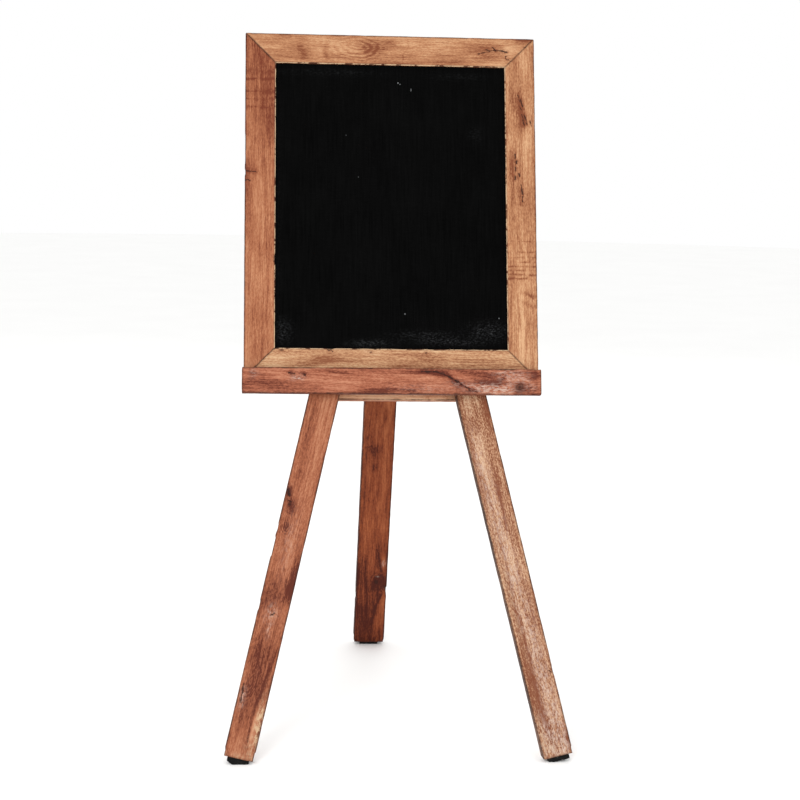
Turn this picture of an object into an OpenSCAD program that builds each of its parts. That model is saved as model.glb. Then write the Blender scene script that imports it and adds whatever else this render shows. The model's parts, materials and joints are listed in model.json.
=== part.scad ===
// Menu chalkboard on a three-legged wooden easel.
// Two splayed front legs lean back against a hinged rear leg. A screwed-on ledge with
// an upstanding lip carries a loose framed chalkboard, which leans on the front legs.
// Units are millimetres. The floor is z = 0 and the writing side faces -Y.

/* [Board] */
// Width of the framed chalkboard
board_w = 508; // [420:1:600]
// Height of the framed chalkboard along its slope
board_h = 610; // [500:1:640]
// Thickness of the frame members
frame_t = 20; // [16:1:24]
// Face width of the frame members
frame_face = 53; // [40:1:70]
// Thickness of the chalk panel
panel_t = 5; // [3:0.5:6]
// How far the panel sits behind the face of the frame
panel_recess = 5; // [2:0.5:8]
// Width of the rebate that the panel lies in
rebate_w = 8; // [6:1:12]
// Sideways offset of the ledge and the board from the middle of the legs
board_offset = -12; // [-20:1:20]

/* [Front legs] */
// Angle that the front legs lean back
lean = 16; // [10:0.5:20]
// Angle that each front leg splays out
splay = 13.1; // [12:0.1:14]
// Distance of each front foot from the middle
foot_x = 273; // [260:1:285]
// Face width of a front leg
leg_w = 52; // [45:1:60]
// Thickness of every leg
leg_t = 22; // [18:1:26]
// Height of the top of the front legs along their slope
leg_top = 1165; // [1145:1:1200]

/* [Rear leg] */
// Angle that the rear leg leans forward when it is open
rear_lean = 21; // [15:0.5:26]
// Face width of the rear leg
rear_w = 62; // [55:1:70]
// Length of the rear leg above its hinge pin
rear_head = 26; // [20:1:32]

/* [Ledge and rails] */
// Height of the ledge's shelf along the slope
ledge_s = 651; // [600:1:700]
// Length of the ledge
ledge_w = 514; // [440:1:620]
// Depth of the shelf, from the legs to the lip
shelf_d = 22; // [21.5:0.5:30]
// Thickness of the shelf
shelf_t = 18; // [14:1:22]
// Height of the lip board
lip_h = 45; // [35:1:60]
// Thickness of the lip board
lip_t = 12; // [8:1:16]
// Height of the lip above the shelf
lip_rise = 18; // [12:1:25]
// Length of the cross rail behind the legs
rail_w = 280; // [260:1:285]
// Face width of the cross rail
rail_face = 50; // [40:1:60]
// Height of the cross rail's lower edge along the slope
rail_s = 621; // [600:1:640]
// Thickness of the cross rail and of the head cleat
rail_t = 20; // [16:1:24]
// Width of the head cleat
cleat_w = 122; // [100:1:140]
// Height of the head cleat along the slope
cleat_h = 84; // [80:1:90]

/* [Hinge] */
// Height of the hinge pin along the slope of the front legs
pin_s = 1118; // [1110:1:1126]
// Radius of the hinge pin
pin_r = 2.5; // [2:0.1:3]
// Outer radius of the hinge knuckles
knuckle_r = 4.5; // [4:0.1:5]
// Width of the hinge
hinge_w = 50; // [40:1:60]
// Length of each hinge leaf below the pin
leaf_l = 34; // [30:1:38]
// Thickness of the hinge leaves
leaf_t = 2; // [1.5:0.1:2.5]

/* [Feet] */
// Width of the rubber foot pads
pad_w = 37; // [30:1:42]
// Depth of the rubber foot pads
pad_d = 17; // [14:1:17]
// Height of a front leg's end above the floor
front_pad_h = 10; // [8:0.5:12]
// Height of the rear leg's end above the floor
rear_pad_h = 5; // [4:0.5:8]

/* [Fasteners] */
// Radius of the wood screws
screw_r = 2; // [1.5:0.1:2.5]
// Radius of the screw heads
screw_head_r = 4; // [3.5:0.1:4.5]
// Radius of the nails and panel pins
nail_r = 0.9; // [0.7:0.1:1.2]

/* [Hidden] */
$fn = 48;

// Clearances
loose_gap = 0.3;      // between parts that move past each other
running_gap = 0.05;   // radial gap of a knuckle that turns on the pin
press = 0.05;         // radial grip of a screw, nail or pin in its hole
cut_over = 1;         // how far a cutting shape reaches past a face

// Board
opening_w = board_w - 2 * frame_face;
opening_h = board_h - 2 * frame_face;
panel_gap = 1;
panel_w = opening_w + 2 * (rebate_w - panel_gap);
panel_h = opening_h + 2 * (rebate_w - panel_gap);
rebate_d = frame_t - panel_recess;
panel_pin_l = 14;
panel_pin_in = 8;
panel_pins_across = 3;
panel_pins_up = 4;
mitre_staple_w = 24;
mitre_staple_t = 1;
mitre_staple_d = 9;
mitre_staple_proud = 0.4;

// Rear leg and hinge, in the lean of the front legs
fold_angle = lean + rear_lean;
rail_y = leg_t + rail_t;
pin_y = rail_y + knuckle_r;
pin_world_y = pin_s * sin(lean) + pin_y * cos(lean);
pin_world_z = pin_s * cos(lean) - pin_y * sin(lean);
cleat_s = pin_s + rear_head - cleat_h;
knuckles = 5;
knuckle_pitch = hinge_w / knuckles;
pin_head_r = pin_r + 0.9;
pin_head_t = 1.2;
rear_front = knuckle_r;
rear_back = knuckle_r + leg_t;

// Screws and nails
countersink = 2.8;
screw_slot_w = 1;
screw_slot_d = 1;
nail_head_r = 2 * nail_r;
nail_head_t = 1;
ledge_screw_l = 40;
rail_screw_l = 38;
cleat_screw_l = 38;
hinge_screw_l = 16;
pad_nail_l = 24;
pad_nail_spread = 11;
pad_nail_sink = 2.5;
lip_nail_l = 30;
lip_nail_sink = 1.5;
lip_nails_n = 5;
lip_nail_margin = 40;
nail_bore_reach = 12;

// Feet
front_end = front_pad_h / cos(lean) / cos(splay);
front_end_rise = tan(lean) / cos(splay);
pad_reach = 60;
pad_inset = (leg_t - pad_d) / 2;
floor_size = 2000;

// The origin is on the floor under the middle of the whole object
front_most = (front_end * cos(splay) - leg_w / 2 * sin(splay)) * sin(lean);
rear_most = pin_world_y + rear_back * cos(rear_lean) - rear_end(rear_back) * sin(rear_lean);
origin_y = (front_most + rear_most) / 2;

// Height along the front legs' slope and offset of a leg's centre line there
function leg_x(s) = foot_x - s * tan(splay);

// Where the rear leg's level end cut meets a line y behind the pin, along the leg
function rear_end(y) = (rear_pad_h - pin_world_z - y * sin(rear_lean)) / cos(rear_lean);

// ---------- frames of reference ----------

// Slope of the front legs: X across, Y back from their front faces, Z up the slope
module leaning() {
    translate([0, -origin_y, 0])
        rotate([-lean, 0, 0])
            children();
}

// One front leg: Z along its centre line, from the floor, with Y as above
module along_front_leg(side) {
    leaning()
        translate([side * foot_x, 0, 0])
            rotate([0, -side * splay, 0])
                children();
}

// The open rear leg: the origin on the hinge pin, Z up the leg, Y back from the pin
module along_rear_leg() {
    leaning()
        translate([0, pin_y, pin_s])
            rotate([fold_angle, 0, 0])
                children();
}

// The board: the origin in the middle of its back face, Y up the slope, Z to the front
module on_board() {
    leaning()
        translate([board_offset, -loose_gap, ledge_s + loose_gap + board_h / 2])
            rotate([90, 0, 0])
                children();
}

// Everything above the floor
module above_floor() {
    intersection() {
        children();
        translate([-floor_size / 2, -floor_size / 2, 0])
            cube(floor_size);
    }
}

// ---------- fasteners ----------

// Countersunk screw along -Z with its head flush at z = 0, grown by a radial amount
module screw_body(length, grow = 0) {
    rotate_extrude()
        polygon([
            [0, 0],
            [screw_head_r + grow, 0],
            [screw_r + grow, -countersink],
            [screw_r + grow, -length + screw_r],
            [0, -length]
        ]);
}

module screw(length) {
    difference() {
        screw_body(length);
        translate([-screw_head_r, -screw_slot_w / 2, -screw_slot_d])
            cube([2 * screw_head_r, screw_slot_w, screw_slot_d + cut_over]);
    }
}

module screw_hole(length) {
    screw_body(length, -press);
    translate([0, 0, -cut_over / 10])
        cylinder(r = screw_head_r - press, h = cut_over);
}

// Nail along -Z with its head's top at z = 0, grown by a radial amount
module nail_body(length, grow = 0) {
    translate([0, 0, -nail_head_t])
        cylinder(r = nail_head_r + grow, h = nail_head_t);
    translate([0, 0, -length])
        cylinder(r = nail_r + grow, h = length);
}

module nail_hole(length) {
    nail_body(length, -press);
    cylinder(r = nail_head_r - press, h = nail_bore_reach);
}

// ---------- where the fasteners go ----------

module at_head_cleat_screws() {
    leaning()
        for (side = [-1, 1])
            for (spot = [[30, 15], [24, cleat_h - 14]])
                translate([side * spot[0], rail_y, cleat_s + spot[1]])
                    rotate([-90, 0, 0])
                        children();
}

module at_cross_rail_screws() {
    leaning()
        for (side = [-1, 1])
            for (step = [-1, 1])
                translate([side * (leg_x(rail_s + rail_face / 2) + 11 * step),
                           rail_y, rail_s + rail_face / 2 - 11 * step])
                    rotate([-90, 0, 0])
                        children();
}

module at_ledge_shelf_screws() {
    leaning()
        for (side = [-1, 1])
            for (step = [-1, 1])
                translate([side * leg_x(ledge_s) + 13 * step, -shelf_d, ledge_s - shelf_t / 2])
                    rotate([90, 0, 0])
                        children();
}

module at_ledge_lip_nails() {
    pitch = (ledge_w - 2 * lip_nail_margin) / (lip_nails_n - 1);
    leaning()
        for (i = [0 : lip_nails_n - 1])
            translate([board_offset - ledge_w / 2 + lip_nail_margin + i * pitch,
                       -shelf_d - lip_t + lip_nail_sink, ledge_s - shelf_t / 2])
                rotate([90, 0, 0])
                    children();
}

// Both leaves share one screw pattern, measured down from the pin
module at_leaf_screws() {
    for (spot = [[-17, -26], [17, -26], [0, -15]])
        translate([spot[0], spot[1], 0])
            children();
}

module at_hinge_fixed_screws() {
    leaning()
        translate([0, rail_y + leaf_t, pin_s])
            rotate([90, 0, 180])
                at_leaf_screws()
                    children();
}

module at_hinge_moving_screws() {
    along_rear_leg()
        translate([0, rear_front - leaf_t, 0])
            rotate([90, 0, 0])
                at_leaf_screws()
                    children();
}

module at_front_pad_nails(side) {
    along_front_leg(side)
        for (step = [-1, 1])
            translate([pad_nail_spread * step, leg_t / 2, front_end / 2 + pad_nail_sink / 2])
                rotate([180, 0, 0])
                    children();
}

module at_rear_pad_nails() {
    along_rear_leg()
        for (step = [-1, 1])
            translate([pad_nail_spread * step, (rear_front + rear_back) / 2,
                       rear_end((rear_front + rear_back) / 2) - rear_pad_h + pad_nail_sink])
                rotate([180, 0, 0])
                    children();
}

// ---------- stand ----------

// A front leg: a plain batten, level at its foot, mitred against the other at the top
module front_leg(side) {
    difference() {
        intersection() {
            along_front_leg(side)
                rotate([90, 0, 90])
                    translate([0, 0, -leg_w / 2])
                        linear_extrude(leg_w)
                            polygon([
                                [0, front_end],
                                [leg_t, front_end + leg_t * front_end_rise],
                                [leg_t, leg_top / cos(splay) + leg_w],
                                [0, leg_top / cos(splay) + leg_w]
                            ]);
            leaning()
                translate([side > 0 ? 0 : -floor_size, -cut_over, 0])
                    cube([floor_size, leg_t + 2 * cut_over, leg_top]);
        }
        at_head_cleat_screws() screw_hole(cleat_screw_l);
        at_cross_rail_screws() screw_hole(rail_screw_l);
        at_ledge_shelf_screws() screw_hole(ledge_screw_l);
        at_front_pad_nails(side) nail_hole(pad_nail_l);
    }
}

module left_front_leg() {
    color([0.63, 0.35, 0.22]) front_leg(-1);
}

module right_front_leg() {
    color([0.72, 0.50, 0.38]) front_leg(1);
}

module head_cleat() {
    color([0.60, 0.38, 0.24])
        difference() {
            leaning()
                translate([-cleat_w / 2, leg_t, cleat_s])
                    cube([cleat_w, rail_t, cleat_h]);
            at_head_cleat_screws() screw_hole(cleat_screw_l);
            at_hinge_fixed_screws() screw_hole(hinge_screw_l);
        }
}

module head_cleat_screws() {
    color([0.75, 0.72, 0.60]) at_head_cleat_screws() screw(cleat_screw_l);
}

module cross_rail() {
    color([0.78, 0.56, 0.38])
        difference() {
            leaning()
                translate([-rail_w / 2, leg_t, rail_s])
                    cube([rail_w, rail_t, rail_face]);
            at_cross_rail_screws() screw_hole(rail_screw_l);
        }
}

module cross_rail_screws() {
    color([0.75, 0.72, 0.60]) at_cross_rail_screws() screw(rail_screw_l);
}

// ---------- ledge ----------

module ledge_shelf() {
    color([0.66, 0.42, 0.28])
        difference() {
            leaning()
                translate([board_offset - ledge_w / 2, -shelf_d, ledge_s - shelf_t])
                    cube([ledge_w, shelf_d, shelf_t]);
            at_ledge_shelf_screws() screw_hole(ledge_screw_l);
            at_ledge_lip_nails() nail_hole(lip_nail_l);
        }
}

module ledge_shelf_screws() {
    color([0.75, 0.72, 0.60]) at_ledge_shelf_screws() screw(ledge_screw_l);
}

module ledge_lip() {
    color([0.68, 0.40, 0.28])
        difference() {
            leaning()
                translate([board_offset - ledge_w / 2, -shelf_d - lip_t, ledge_s + lip_rise - lip_h])
                    cube([ledge_w, lip_t, lip_h]);
            at_ledge_lip_nails() nail_hole(lip_nail_l);
        }
}

module ledge_lip_nails() {
    color([0.55, 0.55, 0.56]) at_ledge_lip_nails() nail_body(lip_nail_l);
}

// ---------- feet ----------

// A rubber pad under a front leg, worn level with the floor
module front_foot_pad(side) {
    color([0.08, 0.08, 0.08])
        difference() {
            above_floor()
                along_front_leg(side)
                    rotate([90, 0, 90])
                        translate([0, 0, -pad_w / 2])
                            linear_extrude(pad_w)
                                polygon([
                                    [pad_inset, -pad_reach],
                                    [leg_t - pad_inset, -pad_reach],
                                    [leg_t - pad_inset, front_end + (leg_t - pad_inset) * front_end_rise],
                                    [pad_inset, front_end + pad_inset * front_end_rise]
                                ]);
            at_front_pad_nails(side) nail_hole(pad_nail_l);
        }
}

module left_foot_pad() {
    front_foot_pad(-1);
}

module right_foot_pad() {
    front_foot_pad(1);
}

module front_pad_nails() {
    color([0.55, 0.55, 0.56])
        for (side = [-1, 1])
            at_front_pad_nails(side) nail_body(pad_nail_l);
}

module rear_foot_pad() {
    color([0.08, 0.08, 0.08])
        difference() {
            above_floor()
                along_rear_leg()
                    rotate([90, 0, 90])
                        translate([0, 0, -pad_w / 2])
                            linear_extrude(pad_w)
                                polygon([
                                    [rear_front + pad_inset, rear_end(rear_front) - pad_reach],
                                    [rear_back - pad_inset, rear_end(rear_front) - pad_reach],
                                    [rear_back - pad_inset, rear_end(rear_back - pad_inset)],
                                    [rear_front + pad_inset, rear_end(rear_front + pad_inset)]
                                ]);
            at_rear_pad_nails() nail_hole(pad_nail_l);
        }
}

module rear_pad_nails() {
    color([0.55, 0.55, 0.56]) at_rear_pad_nails() nail_body(pad_nail_l);
}

// ---------- hinge and rear leg ----------

// One leaf with its share of the knuckles, from the first one given, every second one.
// X runs along the pin, Y up the leaf and Z from the wood to the pin.
module hinge_leaf(first, bore_r) {
    difference() {
        union() {
            translate([-hinge_w / 2, -leaf_l, 0])
                cube([hinge_w, leaf_l - knuckle_r - loose_gap, leaf_t]);
            for (i = [first : 2 : knuckles - 1])
                translate([-hinge_w / 2 + i * knuckle_pitch + loose_gap / 2, 0, 0]) {
                    translate([0, -leaf_l / 2, 0])
                        cube([knuckle_pitch - loose_gap, leaf_l / 2, leaf_t]);
                    translate([0, 0, knuckle_r])
                        rotate([0, 90, 0])
                            cylinder(r = knuckle_r, h = knuckle_pitch - loose_gap);
                }
        }
        translate([-hinge_w, 0, knuckle_r])
            rotate([0, 90, 0])
                cylinder(r = bore_r, h = 2 * hinge_w);
        at_leaf_screws()
            translate([0, 0, leaf_t])
                screw_hole(hinge_screw_l);
    }
}

module hinge_fixed_leaf() {
    color([0.62, 0.62, 0.60])
        leaning()
            translate([0, rail_y, pin_s])
                rotate([90, 0, 180])
                    hinge_leaf(0, pin_r - press);
}

module hinge_moving_leaf() {
    color([0.62, 0.62, 0.60])
        along_rear_leg()
            translate([0, rear_front, 0])
                rotate([90, 0, 0])
                    hinge_leaf(1, pin_r + running_gap);
}

module hinge_pin() {
    color([0.70, 0.70, 0.68])
        leaning()
            translate([0, pin_y, pin_s])
                rotate([0, 90, 0]) {
                    cylinder(r = pin_r, h = hinge_w + pin_head_t, center = true);
                    for (end = [-1, 1])
                        translate([0, 0, end * (hinge_w + pin_head_t) / 2])
                            cylinder(r = pin_head_r, h = pin_head_t, center = true);
                }
}

module hinge_fixed_screws() {
    color([0.75, 0.72, 0.60]) at_hinge_fixed_screws() screw(hinge_screw_l);
}

module hinge_moving_screws() {
    color([0.75, 0.72, 0.60]) at_hinge_moving_screws() screw(hinge_screw_l);
}

// The rear leg: its bevelled head bears flat on the head cleat when the leg is open
module rear_leg() {
    stop = knuckle_r - loose_gap;
    bevel_low = (rear_front * cos(fold_angle) + stop) / sin(fold_angle);
    bevel_deep = (rear_head * sin(fold_angle) - stop) / cos(fold_angle);
    color([0.50, 0.25, 0.15])
        difference() {
            along_rear_leg()
                rotate([90, 0, 90])
                    translate([0, 0, -rear_w / 2])
                        linear_extrude(rear_w)
                            polygon([
                                [rear_front, rear_end(rear_front)],
                                [rear_back, rear_end(rear_back)],
                                [rear_back, rear_head],
                                [bevel_deep, rear_head],
                                [rear_front, bevel_low]
                            ]);
            at_hinge_moving_screws() screw_hole(hinge_screw_l);
            at_rear_pad_nails() nail_hole(pad_nail_l);
        }
}

// ---------- chalkboard ----------

// A mitred frame member with its long edge along X and its rebate at the back
module frame_member(length) {
    difference() {
        linear_extrude(frame_t)
            polygon([
                [-length / 2, 0],
                [length / 2, 0],
                [length / 2 - frame_face, frame_face],
                [-length / 2 + frame_face, frame_face]
            ]);
        translate([-length / 2, frame_face - rebate_w, -cut_over])
            cube([length, rebate_w + cut_over, rebate_d + cut_over]);
    }
}

module frame_top_rail() {
    color([0.78, 0.57, 0.40])
        on_board()
            rotate([0, 0, 180])
                translate([0, -board_h / 2, 0])
                    frame_member(board_w);
}

module frame_bottom_rail() {
    color([0.80, 0.60, 0.42])
        on_board()
            translate([0, -board_h / 2, 0])
                frame_member(board_w);
}

module frame_left_stile() {
    color([0.72, 0.45, 0.32])
        on_board()
            rotate([0, 0, -90])
                translate([0, -board_w / 2, 0])
                    frame_member(board_h);
}

module frame_right_stile() {
    color([0.80, 0.58, 0.41])
        on_board()
            rotate([0, 0, 90])
                translate([0, -board_w / 2, 0])
                    frame_member(board_h);
}

module chalk_panel() {
    color([0.05, 0.05, 0.05])
        on_board()
            translate([-panel_w / 2, -panel_h / 2, frame_t - panel_recess - panel_t])
                cube([panel_w, panel_h, panel_t]);
}

// A row of panel pins driven outwards along +Y, just behind the panel
module panel_pin_row(count, length, reach) {
    pitch = length / count;
    for (i = [0 : count - 1])
        translate([-length / 2 + (i + 0.5) * pitch,
                   reach + rebate_w + panel_pin_in - panel_pin_l,
                   frame_t - panel_recess - panel_t - nail_r - press])
            rotate([-90, 0, 0])
                cylinder(r = nail_r, h = panel_pin_l);
}

module panel_pins() {
    color([0.55, 0.55, 0.56])
        on_board()
            for (turn = [0, 180]) {
                rotate([0, 0, turn])
                    panel_pin_row(panel_pins_across, opening_w, opening_h / 2);
                rotate([0, 0, turn + 90])
                    panel_pin_row(panel_pins_up, opening_h, opening_w / 2);
            }
}

// Corrugated fasteners driven across the back of each mitre
module mitre_staples() {
    color([0.60, 0.60, 0.61])
        on_board()
            for (across = [-1, 1])
                for (up = [-1, 1])
                    translate([across * (board_w - frame_face) / 2, up * (board_h - frame_face) / 2, 0])
                        rotate([0, 0, -45 * across * up])
                            translate([-mitre_staple_w / 2, -mitre_staple_t / 2, -mitre_staple_proud / 2])
                                cube([mitre_staple_w, mitre_staple_t, mitre_staple_d]);
}

left_front_leg();
right_front_leg();
head_cleat();
head_cleat_screws();
cross_rail();
cross_rail_screws();
ledge_shelf();
ledge_shelf_screws();
ledge_lip();
ledge_lip_nails();
left_foot_pad();
right_foot_pad();
front_pad_nails();
hinge_fixed_leaf();
hinge_pin();
hinge_fixed_screws();
rear_leg();
hinge_moving_leaf();
hinge_moving_screws();
rear_foot_pad();
rear_pad_nails();
frame_top_rail();
frame_bottom_rail();
frame_left_stile();
frame_right_stile();
chalk_panel();
panel_pins();
mitre_staples();
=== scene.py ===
import json
import math

import bmesh
import bpy
from mathutils import Matrix, Vector, noise


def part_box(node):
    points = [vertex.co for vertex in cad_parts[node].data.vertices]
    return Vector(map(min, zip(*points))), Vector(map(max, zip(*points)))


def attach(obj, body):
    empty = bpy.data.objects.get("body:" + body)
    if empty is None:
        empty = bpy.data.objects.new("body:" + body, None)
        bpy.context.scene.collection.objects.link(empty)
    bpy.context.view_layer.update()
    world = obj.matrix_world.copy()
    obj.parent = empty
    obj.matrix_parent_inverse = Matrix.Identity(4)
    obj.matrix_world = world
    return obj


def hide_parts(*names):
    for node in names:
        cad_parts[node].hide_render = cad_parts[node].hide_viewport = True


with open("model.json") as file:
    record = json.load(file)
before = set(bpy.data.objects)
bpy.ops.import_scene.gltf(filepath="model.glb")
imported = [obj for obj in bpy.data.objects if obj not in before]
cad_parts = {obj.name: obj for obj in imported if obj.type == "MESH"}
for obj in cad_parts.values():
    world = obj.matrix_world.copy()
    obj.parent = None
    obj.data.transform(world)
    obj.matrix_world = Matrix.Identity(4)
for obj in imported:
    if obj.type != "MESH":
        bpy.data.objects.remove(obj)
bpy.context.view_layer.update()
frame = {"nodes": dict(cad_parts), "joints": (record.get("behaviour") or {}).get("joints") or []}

# The looks of the menu chalkboard easel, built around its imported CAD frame. Lengths are in
# metres, except that marks, chips and piths are listed in millimetres. Every wooden piece is
# rebuilt as a worn length of timber in local axes of its own: x runs along the grain, y across
# the face and z out of the face, from its middle.

JOINTS = {joint["name"]: joint for joint in frame["joints"]}
UP = Vector(JOINTS["board_lift"]["axis"]).normalized()      # up the slope of the front legs
RIGHT = Vector((1.0, 0.0, 0.0))
FRONT = UP.cross(RIGHT) * -1.0                              # square out of that slope
MM = 0.001


# ---------- pieces in general ----------

SHARP = math.radians(30)    # faces of metal or rubber that meet at more than this show an edge


def seeded(name):
    """A fixed shift for a piece's noise, from its name."""
    number = sum((i + 1) * ord(c) for i, c in enumerate(name))
    return Vector((number % 97, number % 89, number % 83)) * 1.37


def in_metres(rows, lengths):
    """Rows of numbers, of which the first few are lengths in millimetres."""
    return [(*(n * MM for n in row[:lengths]), *row[lengths:]) for row in rows]


def finished(name, build):
    """The mesh that a bmesh has become."""
    mesh = bpy.data.meshes.new(name)
    build.to_mesh(mesh)
    build.free()
    return mesh


def added(name, data):
    """A new object, linked to the scene."""
    made = bpy.data.objects.new(name, data)
    bpy.context.scene.collection.objects.link(made)
    return made


def sleeve(build, rings):
    """Faces between neighbouring rings of points."""
    size = len(rings[0])
    for a, b in zip(rings, rings[1:]):
        for i in range(size):
            build.faces.new((a[i], a[(i + 1) % size], b[(i + 1) % size], b[i]))


def carry(name, mesh, node, body, material, at=None):
    """Put a finished mesh in place of a CAD node: timber has axes at, the rest is in row axes."""
    mesh.materials.clear()
    mesh.materials.append(material)
    mesh.polygons.foreach_set("use_smooth", [True] * len(mesh.polygons))
    if at is None:
        mesh.set_sharp_from_angle(angle=SHARP)
    piece = added(name, mesh)
    if at is not None:
        piece.matrix_world = at
    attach(piece, body)
    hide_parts(node)


# ---------- timber: local axes and shape ----------

ARC_STEPS = 4               # points on each rounded arris
NEAR_ARRIS = (1.2 * MM, 3.2 * MM)
FACE_STEP = 7 * MM          # spacing of points across a face
RING_STEP = 4 * MM          # spacing of rings along the grain
CAP_RINGS = 3               # rings on each end's cap, and on the rounded rim round it
RIM_RINGS = 3
ARRIS_REACH = 3.5 * MM      # how far the marks of wear reach from an arris
END_REACH = 3 * MM          # and from an end
RIPPLE = 0.2 * MM           # unevenness of a planed face
RIPPLE_RATE = 35
RUB_DEPTH = 1.1 * MM        # how deep an arris is rubbed
RUB_RATES = (60, 9)         # along and across the grain
SOUND = 0.4                 # arris weight of a sound edge; 1 is rubbed bare
END_PLANE_TILT = 0.1        # an end face looks at least this much along the grain
END_PLANE_SHARE = 0.15      # and has this share of the section's area


def flat_faces(node):
    """The flat faces of a CAD node as [area, normal, distance from the origin], largest first."""
    mesh = frame["nodes"][node].data
    found = {}
    for polygon in mesh.polygons:
        normal = polygon.normal.normalized()
        distance = normal.dot(mesh.vertices[polygon.vertices[0]].co)
        key = (*(round(c, 3) for c in normal), round(distance, 4))
        row = found.setdefault(key, [0.0, normal.copy(), distance])
        row[0] += polygon.area
    return sorted(found.values(), key=lambda row: -row[0])


class Timber:
    """Where a CAD batten lies: its axes, middle, half sizes and end planes."""

    def __init__(self, node):
        faces = flat_faces(node)
        z = faces[0][1].copy()
        if z.dot(FRONT + 0.5 * UP) < 0:
            z.negate()
        side = next(f[1] for f in faces if abs(f[1].dot(z)) < 0.1)
        x = side.cross(z).normalized()
        if (x.x if abs(x.x) > 0.7 else x.z) < 0:
            x.negate()
        y = z.cross(x)
        self.axes = (x, y, z)
        points = [v.co for v in frame["nodes"][node].data.vertices]
        low = [min(p.dot(a) for p in points) for a in self.axes]
        high = [max(p.dot(a) for p in points) for a in self.axes]
        self.half = Vector((h - l) / 2 for l, h in zip(low, high))
        self.middle = sum((a * (l + h) / 2 for a, l, h in zip(self.axes, low, high)), Vector())
        least = END_PLANE_SHARE * 4 * self.half.y * self.half.z
        self.ends = []
        for area, normal, distance in faces:
            n = Vector(normal.dot(a) for a in self.axes)
            if area > least and abs(n.x) > END_PLANE_TILT:
                self.ends.append((n, distance - normal.dot(self.middle)))

    def matrix(self):
        rows = Matrix(self.axes).transposed().to_4x4()
        rows.translation = self.middle
        return rows

    def end(self, sign, y, z):
        """Where the timber ends at (y, z), towards +x for sign 1 and -x for sign -1."""
        cuts = [(d - n.y * y - n.z * z) / n.x for n, d in self.ends if n.x * sign > 0]
        return min(cuts) if sign > 0 else max(cuts)


def block(half):
    """A plain rectangular section."""
    return [(-half.y, -half.z), (half.y, -half.z), (half.y, half.z), (-half.y, half.z)]


def spaced(length):
    """Distances along a straight edge of the section, closer together near its arrises."""
    inner = length - 2 * NEAR_ARRIS[-1]
    if inner <= FACE_STEP / 2:
        return [length / 2]
    count = max(2, round(inner / FACE_STEP))
    middle = [NEAR_ARRIS[-1] + inner * i / count for i in range(1, count)]
    return [*NEAR_ARRIS, *middle, *(length - d for d in reversed(NEAR_ARRIS))]


def outline(corners, radius, weights):
    """Points round a section with rounded arrises, each as (point, outward, arris weight)."""
    made = []
    centre = sum((Vector(c) for c in corners), Vector((0, 0))) / len(corners)
    for i, corner in enumerate(corners):
        here = Vector(corner)
        before = (here - Vector(corners[i - 1])).normalized()
        along = Vector(corners[(i + 1) % len(corners)]) - here
        after = along.normalized()
        turn = before.x * after.y - before.y * after.x
        if turn > 0:
            pivot = here - before * radius + after * radius
            first = math.atan2(-before.x, before.y)
            for k in range(ARC_STEPS + 1):
                angle = first + math.pi / 2 * k / ARC_STEPS
                out = Vector((math.cos(angle), math.sin(angle)))
                made.append((pivot + out * radius, out, weights[i]))
            start = radius
        else:
            made.append((here, (before * -1 + after).normalized() * -1, 0.0))
            start = 0.0
        out = Vector((after.y, -after.x))
        length = along.length - start - radius
        for d in spaced(length):
            near = min(d, length - d)
            side = i if d < length / 2 else (i + 1) % len(corners)
            share = min(weights[side], SOUND) * math.exp(-near / ARRIS_REACH)
            made.append((here + after * (start + d), out, share))
    return made, centre


def ring_rows(half, radius):
    """The rings from end to end, each as (share of the length, inset, scale of the section)."""
    ends = [(0.0, 0.0, (k + 1) / (CAP_RINGS + 1)) for k in range(CAP_RINGS)]
    for k in range(RIM_RINGS):
        angle = math.pi / 2 * k / RIM_RINGS
        inset = radius * (1 - math.cos(angle))
        ends.append((0.0, inset, 1 - radius * (1 - math.sin(angle)) / half.z))
    count = max(8, round(2 * half.x / RING_STEP))
    body = [(i / count, radius * (1 - 2 * i / count), 1.0) for i in range(count + 1)]
    return ends + body + [(1.0, -inset, scale) for _, inset, scale in reversed(ends)]


def chip_depth(chips, x, y, z):
    """How deep the listed chips bite at a point: each is (x, y, z, half length, depth).
    A chip whose z is None goes through the whole thickness."""
    deepest = 0.0
    for cx, cy, cz, half, depth in chips:
        along = abs(x - cx) / half
        across = math.hypot(y - cy, 0.0 if cz is None else z - cz) / (2.5 * depth)
        if along < 1 and across < 2:
            deepest = max(deepest, depth * (1 - along ** 8) * math.exp(-across * across))
    return deepest


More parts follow.
